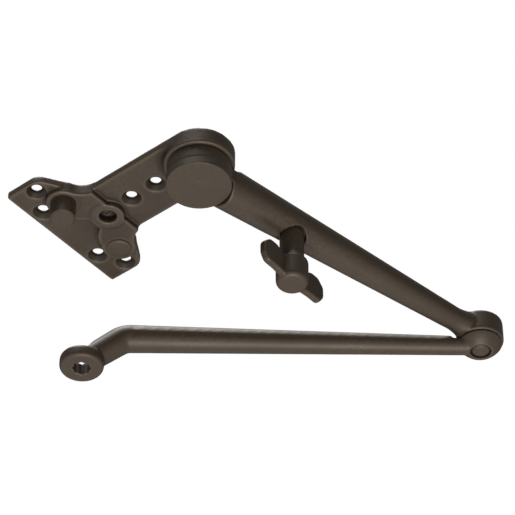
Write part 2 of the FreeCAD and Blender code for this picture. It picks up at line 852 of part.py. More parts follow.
def make_plunger():
    """The plunger that pushes the roller into a notch, forked round the roller."""
    body = new_body("hold_open_plunger", FOREARM_PLACE)
    front = ROLLER_REACH - 0.4
    back = front + S.plunger_length
    spigot = S.train_radius / 2
    turn_along(
        body,
        "plunger",
        [
            (front, 0),
            (back + 4, 0),
            (back + 4, spigot),
            (back, spigot),
            (back, S.train_radius),
            (front, S.train_radius),
        ],
    )
    slot = new_sketch(body, "fork", level=ARM_AXIS + S.roller_height / 2 + 0.15)
    half = S.train_radius + 1
    end = ROLLER_REACH + S.roller_radius + 0.3
    draw_polygon(slot, [(front - 1, -half), (end, -half), (end, half), (front - 1, half)])
    cut_down(body, "fork", slot, S.roller_height + 0.3)
    hole = new_sketch(body, "pin_hole")
    draw_circle(hole, ROLLER_REACH, 0, S.roller_pin_radius)
    cut_down(body, "pin_hole", hole)


def make_roller():
    top = ARM_AXIS + S.roller_height / 2
    bottom = ARM_AXIS - S.roller_height / 2
    place = ((ROLLER_REACH * cosine(S.forearm_angle), ROLLER_REACH * sine(S.forearm_angle)), None)
    inner = S.roller_pin_radius + S.running_clearance
    turned_piece("plunger_roller", place, ring_profile(inner, S.roller_radius, bottom, top))
    reach = 3.9
    pin = [
        (0, ARM_AXIS - reach),
        (S.roller_pin_radius, ARM_AXIS - reach),
        (S.roller_pin_radius, ARM_AXIS + reach),
        (0, ARM_AXIS + reach),
    ]
    turned_piece("roller_pin", place, pin)


def spring_start():
    return ROLLER_REACH - 0.4 + S.plunger_length


def make_spring():
    """The coil spring between the plunger and the follower."""
    mean = S.train_radius - S.spring_wire_radius - 0.25
    wire = S.spring_wire_radius
    rise = S.spring_length - wire * 2 - 0.1
    helix = document.addObject("Part::Helix", "spring_line")
    helix.Radius = number(mean)
    helix.Height = number(rise)
    helix.Pitch = number(rise / S.spring_turns)
    bind(helix, "Radius", mean)
    bind(helix, "Height", rise)
    bind(helix, "Pitch", rise / S.spring_turns)
    section = document.addObject("Part::Circle", "spring_section")
    section.Radius = number(wire)
    bind(section, "Radius", wire)
    section.Placement = FreeCAD.Placement(
        FreeCAD.Vector(number(mean), 0, 0), FreeCAD.Rotation(FreeCAD.Vector(1, 0, 0), 90)
    )
    bind(section, "Placement.Base.x", mean)
    document.recompute()
    sweep = document.addObject("Part::Sweep", "hold_open_spring")
    sweep.Label = "hold_open_spring"
    sweep.Sections = [section]
    sweep.Spine = (helix, ["Edge1"])
    sweep.Solid = True
    sweep.Frenet = True
    start = spring_start() + wire + 0.05
    lying = FreeCAD.Rotation(FreeCAD.Vector(0, 1, 0), 90)
    turned = FreeCAD.Rotation(UP, number(S.forearm_angle)) * lying
    x = start * cosine(S.forearm_angle)
    y = start * sine(S.forearm_angle)
    base = FreeCAD.Vector(number(x), number(y), number(ARM_AXIS))
    sweep.Placement = FreeCAD.Placement(base, turned)
    bind(sweep, "Placement.Base.x", x)
    bind(sweep, "Placement.Base.y", y)
    bind(sweep, "Placement.Base.z", ARM_AXIS)
    document.recompute()
    sub_parts.append(sweep)


def make_follower():
    """The follower between the spring and the thumb turn's eccentric."""
    body = new_body("cam_follower", FOREARM_PLACE)
    front = spring_start() + S.spring_length
    shoulder = S.thumb_reach - S.stem_gap_radius - S.detent_lift
    nose = S.follower_nose_radius
    turn_along(
        body,
        "follower",
        [
            (front - 4, 0),
            (FOLLOWER_END, 0),
            (FOLLOWER_END, nose),
            (shoulder, nose),
            (shoulder, S.train_radius),
            (front, S.train_radius),
            (front, S.train_radius / 2),
            (front - 4, S.train_radius / 2),
        ],
    )


# ---------------------------------------------------------------- thumb turn


def make_turn_shaft():
    """The thumb turn's shaft, with the eccentric that works the follower."""
    body = new_body("turn_shaft", WING_PLACE)
    tip = S.shaft_tip_radius
    cam_top = CAVITY_TOP - 0.3
    cam_bottom = CAVITY_BOTTOM + 0.1
    turn_profile(
        body,
        "shaft",
        [
            (0, WING_BOTTOM + 8),
            (S.shaft_radius, WING_BOTTOM + 8),
            (S.shaft_radius, cam_bottom),
            (tip, cam_bottom),
            (tip, CAVITY_TOP + 6),
            (0, CAVITY_TOP + 6),
        ],
    )
    cam = new_sketch(body, "cam", level=cam_top)
    towards = S.forearm_angle - S.wing_angle + 45
    draw_circle(cam, CAM_OFFSET * cosine(towards), CAM_OFFSET * sine(towards), S.cam_radius)
    raise_pad(body, "cam", cam, cam_top - cam_bottom)
    pin_hole(body, "XZ_Plane")


def pin_hole(body, plane):
    """The cross hole that the wing's pin is driven through."""
    sketch = new_sketch(body, "cross_hole", plane)
    draw_circle(sketch, 0, wing_pin_level(), S.wing_pin_radius)
    return add_feature(body, "Pocket", "cross_hole", sketch, Type="ThroughAll", Midplane=True)


def wing_pin_level():
    return WING_BOTTOM + 15


def make_thumb_wing():
    """The cast handle: a round stem and boss between two flat ears."""
    body = new_body("thumb_wing", WING_PLACE)
    ears = new_sketch(body, "ears", "XZ_Plane")
    span = S.wing_span_radius
    boss = S.wing_boss_radius
    low = WING_BOTTOM + 2.7
    top = low + S.wing_height
    side = [
        (boss, top - 3.4),
        (boss + 7.5, top),
        (span - 6, top),
        (span, top - 6),
        (span, low + 6),
        (span - 4, low),
        (boss + 7.5, low),
        (boss - 1, WING_BOTTOM + 1.5),
    ]
    draw_polygon(ears, side + [(-x, z) for x, z in reversed(side)])
    pad = add_feature(body, "Pad", "ears", ears, Length=S.wing_thickness, Midplane=True)
    pad = dress_edges(
        body,
        "Fillet",
        "ear_corners",
        pad,
        lambda edge: edge.BoundBox.YLength > 1 and abs(edge.CenterOfMass.x) > number(boss) + 1,
        S.wing_corner,
    )
    dress_edges(
        body,
        "Fillet",
        "ear_edges",
        pad,
        lambda edge: edge.BoundBox.YLength < 0.01,
        S.wing_edge_round,
    )
    stem = S.stem_radius
    turn_profile(
        body,
        "boss",
        [
            (0, STEM_TOP),
            (0, WING_BOTTOM),
            (boss - 3.8, WING_BOTTOM),
            (boss, WING_BOTTOM + 3.8, 3.8),
            (boss, top - 4),
            (stem, top + 1, -14),
            (stem, STEM_TOP),
        ],
    )
    bore = new_sketch(body, "bore", level=WING_BOTTOM + 8)
    draw_circle(bore, 0, 0, S.shaft_radius)
    cut_up(body, "bore", bore)
    pin_hole(body, "XZ_Plane")


def make_wing_pin():
    """The pin that keys the handle to its shaft."""
    body = new_body("wing_pin", WING_PLACE)
    sketch = new_sketch(body, "section", "XZ_Plane")
    draw_circle(sketch, 0, wing_pin_level(), S.wing_pin_radius)
    length = (S.wing_boss_radius - 0.3) * 2
    add_feature(body, "Pad", "pin", sketch, Length=length, Midplane=True)


# ---------------------------------------------------------------- main arm


def make_main_arm():
    body = new_body("main_arm", MAIN_ARM_PLACE)
    reach = S.main_arm_length
    pinion_top = PINION_MID + S.pinion_eye_height / 2
    pinion_bottom = PINION_MID - S.pinion_eye_height / 2
    pinion = new_sketch(body, "pinion_eye", level=pinion_top)
    draw_circle(pinion, reach, 0, S.pinion_eye_radius)
    eye = raise_pad(body, "pinion_eye", pinion, S.pinion_eye_height)
    for name, level in (("pinion_top", pinion_top), ("pinion_foot", pinion_bottom)):
        eye = dress_edges(
            body,
            "Fillet",
            name,
            eye,
            lambda edge: is_ring(edge, reach, 0, level, S.pinion_eye_radius),
            S.pinion_eye_round,
        )
    kink = reach - S.joggle_drop * cosine(S.joggle_pitch) / sine(S.joggle_pitch)
    half_bend = S.joggle_bend * (-cosine(S.joggle_pitch) + 1) / sine(S.joggle_pitch)
    straight = kink - half_bend
    add_bar(body, straight)
    add_joggle(body, straight, kink + half_bend * cosine(S.joggle_pitch), half_bend)
    add_main_elbow_eye(body)
    floor = new_sketch(body, "pinion_floor", level=pinion_bottom)
    draw_circle(floor, reach, 0, S.pinion_eye_radius * 2)
    cut_down(body, "pinion_floor", floor)
    spotface = new_sketch(body, "spotface", level=pinion_top)
    draw_circle(spotface, reach, 0, S.spotface_radius)
    cut_up(body, "spotface", spotface)
    socket = new_sketch(body, "socket")
    draw_star(socket, reach, S.star_tip_radius)
    cut_down(body, "socket", socket)


def add_bar(body, straight):
    """The tapered bar, cut back where the forearm's eye turns over it."""
    bar = new_sketch(body, "bar_start", "YZ_Plane", level=S.elbow_pin_radius, shift=MAIN_AXIS)
    draw_circle(bar, 0, 0, S.main_arm_elbow_end_radius)
    bar_end = new_sketch(body, "bar_end", "YZ_Plane", level=straight, shift=MAIN_AXIS)
    draw_circle(bar_end, 0, 0, S.main_arm_far_end_radius)
    add_loft(body, "bar", [bar, bar_end])
    room = new_sketch(body, "eye_room", level=MAIN_TOP)
    draw_circle(room, 0, 0, S.elbow_eye_radius + S.elbow_flare_room)
    cut_up(body, "eye_room", room)


def add_loft(body, name, sections):
    loft = body.newObject("PartDesign::AdditiveLoft", f"{body.Label}_{name}")
    loft.Profile = sections[0]
    loft.Sections = sections[1:]
    loft.Ruled = True
    document.recompute()
    return loft


def add_joggle(body, straight, slope_start, half_bend):
    """The bend and the straight slope that take the arm down to the closer's shaft."""
    bend = new_sketch(body, "bend", "YZ_Plane", level=straight, shift=MAIN_AXIS)
    draw_circle(bend, 0, 0, S.main_arm_far_end_radius)
    axis = bend.GeometryCount
    ends = [FreeCAD.Vector(x, -number(S.joggle_bend), 0) for x in (-10, 10)]
    bend.addGeometry(Part.LineSegment(*ends), True)
    for point, across in ((1, -10), (2, 10)):
        fix(bend, "DistanceX", axis, point, across, f"axis_across_{point}")
        fix(bend, "DistanceY", axis, point, -S.joggle_bend, f"axis_along_{point}")
    turn = {"ReferenceAxis": (bend, ["Axis0"]), "Angle": S.joggle_pitch}
    add_feature(body, "Revolution", "bend", bend, **turn)
    top = new_sketch(
        body,
        "slope_top",
        "YZ_Plane",
        level=slope_start,
        shift=MAIN_AXIS - half_bend * sine(S.joggle_pitch),
        pitch=S.joggle_pitch,
    )
    draw_circle(top, 0, 0, S.main_arm_far_end_radius)
    foot = new_sketch(
        body,
        "slope_foot",
        "YZ_Plane",
        level=S.main_arm_length,
        shift=PINION_MID,
        pitch=S.joggle_pitch,
    )
    draw_circle(foot, 0, 0, S.joggle_end_radius)
    add_loft(body, "slope", [top, foot])


def add_main_elbow_eye(body):
    """The domed eye under the forearm, counterbored for the pin's head."""
    floor = new_sketch(body, "eye_floor", level=MAIN_BOTTOM)
    draw_circle(floor, 0, 0, S.main_eye_foot_radius)
    cut_down(body, "eye_floor", floor)
    turn_profile(
        body,
        "elbow_eye",
        [
            (0, MAIN_BOTTOM),
            (S.main_eye_foot_radius, MAIN_BOTTOM),
            (S.main_eye_radius, MAIN_TOP - 0.6, S.main_eye_bulge),
            (S.main_eye_radius, MAIN_TOP),
            (0, MAIN_TOP),
        ],
    )
    bore = new_sketch(body, "elbow_bore")
    draw_circle(bore, 0, 0, S.counterbore_radius)
    cut_down(body, "elbow_bore", bore)


def draw_star(sketch, x, tip):
    """An eight-pointed star: two squares, one turned by an eighth of a turn."""
    notch = math.cos(math.radians(45)) / math.cos(math.radians(22.5))
    corners = []
    for index in range(16):
        angle = math.radians(22.5 * index)
        reach = tip * (notch if index % 2 else 1.0)
        corners.append((x + reach * math.cos(angle), reach * math.sin(angle)))
    draw_polygon(sketch, corners)


def make_elbow_bush():
    inner = S.elbow_pin_radius + S.running_clearance
    outer = inner + S.elbow_bush_wall
    profile = ring_profile(inner, outer, MAIN_BOTTOM + S.counterbore_depth, MAIN_TOP)
    turned_piece("elbow_bush", MAIN_ARM_PLACE, profile)


def make_elbow_washer():
    inner = S.elbow_pin_radius + S.running_clearance * 2
    profile = ring_profile(inner, S.elbow_washer_radius, MAIN_TOP, WASHER_TOP)
    turned_piece("elbow_washer", MAIN_ARM_PLACE, profile)


# ---------------------------------------------------------------- build, check and write

# How far the forearm swings each way from the pose that is drawn, in degrees.
HUB_SWING = (-230.0, 72.0)


def build():
    make_soffit_plate()
    make_stop_post()
    make_blank_plug()
    make_centre_screw()
    make_pivot_pin()
    make_detent_ring()
    make_hub_cap()
    make_forearm()
    sleeve_top = FOREARM_TOP - S.bush_sleeve
    make_hub_bush("hub_bush_upper", FOREARM_TOP + S.bush_flange, sleeve_top, FOREARM_TOP)
    sleeve_bottom = FOREARM_BOTTOM + S.bush_sleeve
    make_hub_bush("hub_bush_lower", FOREARM_BOTTOM, FOREARM_BOTTOM, sleeve_bottom)
    make_elbow_pin()
    make_turn_bush()
    make_plunger()
    make_roller()
    make_spring()
    make_follower()
    make_turn_shaft()
    make_thumb_wing()
    make_wing_pin()
    make_main_arm()
    make_elbow_bush()
    make_elbow_washer()


def check():
    document.recompute()
    faults = [
        f"{item.Label}: {item.State}"
        for item in document.Objects
        if "Invalid" in item.State or "Error" in item.State
    ]
    for item in sub_parts:
        shape = item.Shape
        if shape.isNull() or not shape.isValid() or not shape.Solids:
            faults.append(f"{item.Label}: bad shape")
    if faults:
        raise RuntimeError("; ".join(faults))


def write():
    os.makedirs("parts", exist_ok=True)
    for item in sub_parts:
        item.Shape.exportStep(f"parts/{item.Label}.step")


build()
check()
write()
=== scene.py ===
"""Door closer arm set: painted forgings, pins, bearings, stage and camera, over the fixed CAD frame."""

import json
import math
import bmesh
import bpy
import numpy as np
from bpy.props import FloatProperty, FloatVectorProperty, IntProperty, PointerProperty
from bpy.types import Operator, Panel, PropertyGroup
from mathutils import Matrix, Vector


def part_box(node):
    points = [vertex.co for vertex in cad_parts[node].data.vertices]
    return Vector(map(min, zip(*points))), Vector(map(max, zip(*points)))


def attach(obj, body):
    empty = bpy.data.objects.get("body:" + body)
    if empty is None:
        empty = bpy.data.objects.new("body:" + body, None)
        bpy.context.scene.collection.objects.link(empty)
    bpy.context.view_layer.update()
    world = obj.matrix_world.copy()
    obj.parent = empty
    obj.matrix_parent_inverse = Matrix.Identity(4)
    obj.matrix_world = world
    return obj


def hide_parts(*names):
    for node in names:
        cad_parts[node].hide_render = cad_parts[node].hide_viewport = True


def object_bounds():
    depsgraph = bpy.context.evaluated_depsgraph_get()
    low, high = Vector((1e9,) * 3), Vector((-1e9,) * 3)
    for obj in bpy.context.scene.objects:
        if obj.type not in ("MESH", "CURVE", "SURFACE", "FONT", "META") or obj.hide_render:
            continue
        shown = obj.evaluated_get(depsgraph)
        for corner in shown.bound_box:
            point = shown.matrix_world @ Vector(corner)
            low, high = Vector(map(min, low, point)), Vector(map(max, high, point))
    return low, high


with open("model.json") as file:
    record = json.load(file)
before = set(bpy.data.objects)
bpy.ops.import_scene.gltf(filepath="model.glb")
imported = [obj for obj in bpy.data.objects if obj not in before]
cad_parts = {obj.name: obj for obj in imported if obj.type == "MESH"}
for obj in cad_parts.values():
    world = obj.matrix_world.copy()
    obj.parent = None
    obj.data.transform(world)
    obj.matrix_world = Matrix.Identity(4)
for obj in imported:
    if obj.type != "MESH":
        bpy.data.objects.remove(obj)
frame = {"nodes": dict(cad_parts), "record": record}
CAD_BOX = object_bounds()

bl_info = {
    "name": "Door Closer Arm Set",
    "version": (1, 0, 0),
    "blender": (4, 5, 0),
    "location": "View3D > Sidebar > Closer Arm",
    "description": "Painted skins, bearings, stage and camera of a door closer's double arm",
    "category": "Object",
}

MM = 0.001

# The sockets of a mix of two colours: its share and its two colours, and its result.
MIX_SHARE, MIX_FIRST, MIX_SECOND, MIX_COLOUR = 0, 6, 7, 2
# The same for a mix of two plain numbers.
MIX_LOW, MIX_HIGH, MIX_NUMBER = 2, 3, 0

# The paint: how much of it answers light as metal does, and how far its roughness strays.
FLAKE_SHARE = 0.45
GLOSS_BELOW = 0.05
GLOSS_ABOVE = 0.07

MERGE_DISTANCE = 0.002 * MM
# The crest value at which a hollow takes the full painted shade.
FULL_HOLLOW = -1.0

# The countersinks of the soffit plate: their radius short of the rim, and how far from each face they start.
COUNTERSINK_RADIUS = 7.1 * MM
COUNTERSINK_LIP = 0.35 * MM
PLATE_FACE = -5.8 * MM

# Where the key light hangs from the middle of the part: back from the camera's aim, to its right, and down.
KEY_BACK = 0.55
KEY_RIGHT = 0.10
KEY_DOWN = 1.15
KEY_SIDE = 0.8
OVERHEAD_ANGLE = math.radians(30.0)
OVERHEAD_TILT = math.radians(12.0)

SENSOR_WIDTH_MM = 36.0
NEAR_CLIP = 0.05
FAR_CLIP = 100.0

# Each forging: the body that it rides on, the settings for its skin's step, its settling passes and its
# waviness, and the number of passes that its crests and hollows are measured over.
FORGINGS = {
    "soffit_plate": ("shoe", "plate_grain", "plate_settle", "plate_waviness", 16),
    "forearm": ("forearm", "arm_grain", "arm_settle", "arm_waviness", 8),
    "main_arm": ("main_arm", "arm_grain", "arm_settle", "arm_waviness", 8),
    "thumb_wing": ("thumb_turn", "wing_grain", "wing_settle", "arm_waviness", 10),
}
PAINTED_TURNINGS = ("stop_post", "blank_plug", "hub_cap")
PAINTED_PINS = ("centre_screw", "pivot_pin", "elbow_pin", "turn_shaft", "wing_pin")
GROUND_STEEL = ("detent_ring", "hold_open_plunger", "plunger_roller", "roller_pin", "cam_follower")
BEARINGS = ("hub_bush_upper", "hub_bush_lower", "turn_bush", "elbow_bush", "elbow_washer")


# ---------------------------------------------------------------- settings


class CloserSkinSettings(PropertyGroup):
    """How finely each forging's skin is drawn, and how far its corners settle."""

    plate_grain: FloatProperty(
        name="Plate Skin Step",
        description="Spacing of the soffit plate's skin",
        default=0.00068,
        min=0.0004,
        max=0.003,
        unit="LENGTH",
        precision=5,
    )
    plate_settle: IntProperty(
        name="Plate Settling",
        description="Passes that ease the soffit plate's corners",
        default=3,
        min=0,
        max=20,
    )
    arm_grain: FloatProperty(
        name="Arm Skin Step",
        description="Spacing of the skin of both arms",
        default=0.00062,
        min=0.0004,
        max=0.003,
        unit="LENGTH",
        precision=5,
    )
    arm_settle: IntProperty(
        name="Arm Settling",
        description="Passes that ease the corners of both arms",
        default=5,
        min=0,
        max=20,
    )
    wing_grain: FloatProperty(
        name="Wing Skin Step",
        description="Spacing of the thumb wing's skin",
        default=0.0004,
        min=0.0002,
        max=0.002,
        unit="LENGTH",
        precision=5,
    )
    wing_settle: IntProperty(
        name="Wing Settling",
        description="Passes that ease the thumb wing's corners",
        default=5,
        min=0,
        max=20,
    )
    plate_waviness: FloatProperty(
        name="Plate Waviness",
        description="How far the cast plate's faces wander in and out",
        default=0.00022,
        min=0.0,
        max=0.001,
        unit="LENGTH",
        precision=5,
    )
    arm_waviness: FloatProperty(
        name="Arm Waviness",
        description="How far the forged arms' and wing's faces wander in and out",
        default=0.00010,
        min=0.0,
        max=0.001,
        unit="LENGTH",
        precision=5,
    )
    crest_depth: FloatProperty(
        name="Crest Depth",
        description="How far a corner stands off its surroundings where the paint counts as fully crested",
        default=0.00022,
        min=0.00005,
        max=0.002,
        unit="LENGTH",
        precision=5,
    )


class CloserPaintSettings(PropertyGroup):
    """Colours and gloss of the finishes."""

    bronze: FloatVectorProperty(
        name="Bronze Paint",
        description="Colour of the dark bronze paint on open faces",
        default=(0.0530, 0.0372, 0.0232),
        min=0.0,
        max=1.0,
        size=3,
        subtype="COLOR",
    )
    # The darker tone of the paint: it gives the slow mottle, and it is the painted shade in corners and
    # hollows.
    bronze_mottle_and_shade: FloatVectorProperty(
        name="Bronze Paint, Pooled",
        description="Colour of the paint where it pools in corners and hollows",
        default=(0.0210, 0.0130, 0.0072),
        min=0.0,
        max=1.0,
        size=3,
        subtype="COLOR",
    )
    bronze_crest: FloatVectorProperty(
        name="Bronze Paint, Thin",
        description="Colour of the paint where it is thin over an edge",
        default=(0.072, 0.052, 0.035),
        min=0.0,
        max=1.0,
        size=3,
        subtype="COLOR",
    )
    paint_roughness: FloatProperty(
        name="Paint Roughness",
        description="Roughness of the satin paint",
        default=0.47,
        min=0.05,
        max=1.0,
        subtype="FACTOR",
    )
    steel: FloatVectorProperty(
        name="Ground Steel",
        description="Colour of the ground and oiled steel inside the hub and the hold-open",
        default=(0.42, 0.41, 0.40),
        min=0.0,
        max=1.0,
        size=3,
        subtype="COLOR",
    )
    bearing: FloatVectorProperty(
        name="Bearing Bronze",
        description="Colour of the oil-soaked bearing bronze",
        default=(0.15, 0.095, 0.05),
        min=0.0,
        max=1.0,
        size=3,
        subtype="COLOR",
    )
    spring: FloatVectorProperty(
        name="Spring Wire",
        description="Colour of the oil-tempered spring wire",
        default=(0.13, 0.125, 0.12),
        min=0.0,
        max=1.0,
        size=3,
        subtype="COLOR",
    )


class CloserStageSettings(PropertyGroup):
    """Floor, lights and camera."""

    floor_drop: FloatProperty(
        name="Floor Drop",
        description="How far the floor lies below the soffit face",
        default=3.2,
        min=0.5,
        max=6.0,
        unit="LENGTH",
    )
    floor_side: FloatProperty(
        name="Floor Side",
        description="Length of the floor's side",
        default=40.0,
        min=2.0,
        max=80.0,
        unit="LENGTH",
    )
    floor_colour: FloatVectorProperty(
        name="Floor Colour",
        description="Colour of the plain floor",
        default=(0.92, 0.92, 0.92),
        min=0.0,
        max=1.0,
        size=3,
        subtype="COLOR",
    )
    sky_strength: FloatProperty(
        name="Room Light",
        description="Strength of the even light of the room",
        default=0.19,
        min=0.0,
        max=5.0,
    )
    key_power: FloatProperty(
        name="Key Light",
        description="Power of the large soft light under the part, beside the camera",
        default=17.0,
        min=0.0,
        max=500.0,
        unit="POWER",
    )
    overhead_strength: FloatProperty(
        name="Overhead Light",
        description="Strength of the soft light from overhead, which the pale floor throws back up",
        default=2.75,
        min=0.0,
        max=20.0,
    )
    camera_place: FloatVectorProperty(
        name="Camera Place",
        description="Where the camera stands",
        default=(0.8612, -0.9869, -1.3013),
        size=3,
        subtype="TRANSLATION",
        unit="LENGTH",
    )
    camera_aim: FloatVectorProperty(
        name="Camera Direction",
        description="The direction that the camera looks in",
        default=(-0.467, 0.569, 0.677),
        size=3,
        subtype="DIRECTION",
    )
    camera_lens: FloatProperty(
        name="Lens",
        description="Focal length in millimetres",
        default=188.7,
        min=20.0,
        max=500.0,
    )


# ---------------------------------------------------------------- node helpers


def add_node(tree, kind, place, **settings):
    """A new node of a tree at a place in the editor, with its options and plain input values set."""
    node = tree.nodes.new(kind)
    node.location = place
    inputs = settings.pop("inputs", {})
    for name, value in settings.items():
        setattr(node, name, value)
    for name, value in inputs.items():
        node.inputs[name].default_value = value
    return node


def new_group(name, kind, inputs, outputs):
    """An empty node group with named sockets; each input is (name, socket type, default)."""
    tree = bpy.data.node_groups.new(name, kind)
    for label, socket, default in inputs:
        item = tree.interface.new_socket(name=label, in_out="INPUT", socket_type=socket)
        if default is not None:
            item.default_value = default
    for label, socket in outputs:
        tree.interface.new_socket(name=label, in_out="OUTPUT", socket_type=socket)
    return tree


def socket_identifier(tree, name):
    """The identifier of a node group's input, which is what a modifier is set by."""
    for item in tree.interface.items_tree:
        if item.item_type == "SOCKET" and item.in_out == "INPUT" and item.name == name:
            return item.identifier
    raise KeyError(f"{tree.name} has no input named {name}")


def place_group(tree, group, place, values=None):
    """A node group placed in a material, with its own values."""
    node = tree.nodes.new("ShaderNodeGroup")
    node.node_tree = group
    node.location = place
    for name, value in (values or {}).items():
        node.inputs[name].default_value = value
    return node


# ---------------------------------------------------------------- shader groups


def build_surface_grain():
    """Height and mask of a sprayed coat over a rough surface: orange peel, cast grain and a few pits."""
    group = new_group(
        "Surface Grain",
        "ShaderNodeTree",
        [
            ("Vector", "NodeSocketVector", None),
            ("Peel Scale", "NodeSocketFloat", 900.0),
            ("Grain Scale", "NodeSocketFloat", 320.0),
            ("Grain Share", "NodeSocketFloat", 0.5),
            ("Pit Scale", "NodeSocketFloat", 160.0),
            ("Pit Depth", "NodeSocketFloat", 0.3),
        ],
        [("Height", "NodeSocketFloat"), ("Mask", "NodeSocketFloat")],
    )
    start = add_node(group, "NodeGroupInput", (-900, 0))
    peel = add_node(group, "ShaderNodeTexNoise", (-650, 250), inputs={"Detail": 2.0, "Roughness": 0.5})
    grain = add_node(group, "ShaderNodeTexNoise", (-650, 0), inputs={"Detail": 4.0, "Roughness": 0.62})
    pits = add_node(group, "ShaderNodeTexVoronoi", (-650, -300), inputs={"Randomness": 1.0})
    pit_floor = add_node(
        group,
        "ShaderNodeMapRange",
        (-420, -300),
        inputs={"From Min": 0.0, "From Max": 0.22, "To Min": -1.0, "To Max": 0.0},
    )
    blend = add_node(group, "ShaderNodeMix", (-380, 150), data_type="FLOAT")
    pitted = add_node(group, "ShaderNodeMath", (-180, 0), operation="MULTIPLY_ADD")
    end = add_node(group, "NodeGroupOutput", (80, 0))
    link = group.links.new
    for texture, scale in ((peel, "Peel Scale"), (grain, "Grain Scale"), (pits, "Pit Scale")):
        link(start.outputs["Vector"], texture.inputs["Vector"])
        link(start.outputs[scale], texture.inputs["Scale"])
    link(start.outputs["Grain Share"], blend.inputs[MIX_SHARE])
    link(peel.outputs["Fac"], blend.inputs[MIX_LOW])
    link(grain.outputs["Fac"], blend.inputs[MIX_HIGH])
    link(pits.outputs["Distance"], pit_floor.inputs["Value"])
    link(pit_floor.outputs["Result"], pitted.inputs[0])
    link(start.outputs["Pit Depth"], pitted.inputs[1])
    link(blend.outputs[MIX_NUMBER], pitted.inputs[2])
    link(pitted.outputs["Value"], end.inputs["Height"])
    link(grain.outputs["Fac"], end.inputs["Mask"])
    return group


def build_paint_film():
    """Colour and roughness of a paint film: slow mottling, thin over crests, and painted shade that darkens
    its hollows.
    """
    group = new_group(
        "Paint Film",
        "ShaderNodeTree",
        [
            ("Vector", "NodeSocketVector", None),
            ("Grain", "NodeSocketFloat", 0.5),
            ("Open", "NodeSocketColor", (0.06, 0.045, 0.033, 1.0)),
            ("Pooled", "NodeSocketColor", (0.03, 0.022, 0.016, 1.0)),
            ("Thin", "NodeSocketColor", (0.11, 0.085, 0.065, 1.0)),
            ("Crest Share", "NodeSocketFloat", 0.6),
            ("Mottle Scale", "NodeSocketFloat", 28.0),
            ("Mottle Share", "NodeSocketFloat", 0.25),
            ("Gloss Low", "NodeSocketFloat", 0.38),
            ("Gloss High", "NodeSocketFloat", 0.50),
        ],
        [("Color", "NodeSocketColor"), ("Roughness", "NodeSocketFloat")],
    )
    start = add_node(group, "NodeGroupInput", (-1100, 0))
    crest = add_node(group, "ShaderNodeAttribute", (-1100, -400), attribute_name="crest")
    mottle = add_node(group, "ShaderNodeTexNoise", (-850, 300), inputs={"Detail": 3.0, "Roughness": 0.55})
    clouds = add_node(
        group,
        "ShaderNodeMapRange",
        (-640, 300),
        inputs={"From Min": 0.35, "From Max": 0.65, "To Min": 0.0, "To Max": 1.0},
    )
    flecks = add_node(
        group,
        "ShaderNodeMapRange",
        (-640, 60),
        inputs={"From Min": 0.58, "From Max": 0.40, "To Min": 0.0, "To Max": 0.35},
    )
    clouded = add_node(group, "ShaderNodeMath", (-430, 240), operation="MULTIPLY")
    dulled = add_node(group, "ShaderNodeMath", (-260, 200), operation="MAXIMUM")
    mottled = add_node(group, "ShaderNodeMix", (-80, 160), data_type="RGBA")
    # Painted shade: the deeper the hollow, the more of the dark tone it takes.
    hollow = add_node(
        group,
        "ShaderNodeMapRange",
        (-640, -300),
        inputs={"From Min": -0.10, "From Max": -0.70, "To Min": 0.0, "To Max": 0.95},
    )
    ridge = add_node(
        group,
        "ShaderNodeMapRange",
        (-640, -560),
        inputs={"From Min": 0.25, "From Max": 1.1, "To Min": 0.0, "To Max": 1.0},
    )
    ridge_share = add_node(group, "ShaderNodeMath", (-430, -560), operation="MULTIPLY")
    painted_shade = add_node(group, "ShaderNodeMix", (120, 60), data_type="RGBA")
    thinned = add_node(group, "ShaderNodeMix", (320, 0), data_type="RGBA")
    gloss = add_node(group, "ShaderNodeMix", (120, -300), data_type="FLOAT")
    end = add_node(group, "NodeGroupOutput", (560, 0))
    link = group.links.new
    link(start.outputs["Vector"], mottle.inputs["Vector"])
    link(start.outputs["Mottle Scale"], mottle.inputs["Scale"])
    link(mottle.outputs["Fac"], clouds.inputs["Value"])
    link(clouds.outputs["Result"], clouded.inputs[0])
    link(start.outputs["Mottle Share"], clouded.inputs[1])
    link(start.outputs["Grain"], flecks.inputs["Value"])
    link(clouded.outputs["Value"], dulled.inputs[0])
    link(flecks.outputs["Result"], dulled.inputs[1])
    link(dulled.outputs["Value"], mottled.inputs[MIX_SHARE])
    link(start.outputs["Open"], mottled.inputs[MIX_FIRST])
    link(start.outputs["Pooled"], mottled.inputs[MIX_SECOND])
    link(crest.outputs["Fac"], hollow.inputs["Value"])
    link(crest.outputs["Fac"], ridge.inputs["Value"])
    link(ridge.outputs["Result"], ridge_share.inputs[0])
    link(start.outputs["Crest Share"], ridge_share.inputs[1])
    link(hollow.outputs["Result"], painted_shade.inputs[MIX_SHARE])
    link(mottled.outputs[MIX_COLOUR], painted_shade.inputs[MIX_FIRST])
    link(start.outputs["Pooled"], painted_shade.inputs[MIX_SECOND])
    link(ridge_share.outputs["Value"], thinned.inputs[MIX_SHARE])
    link(painted_shade.outputs[MIX_COLOUR], thinned.inputs[MIX_FIRST])
    link(start.outputs["Thin"], thinned.inputs[MIX_SECOND])
    link(mottle.outputs["Fac"], gloss.inputs[MIX_SHARE])
    link(start.outputs["Gloss Low"], gloss.inputs[MIX_LOW])
    link(start.outputs["Gloss High"], gloss.inputs[MIX_HIGH])
    link(thinned.outputs[MIX_COLOUR], end.inputs["Color"])
    link(gloss.outputs[MIX_NUMBER], end.inputs["Roughness"])
    return group


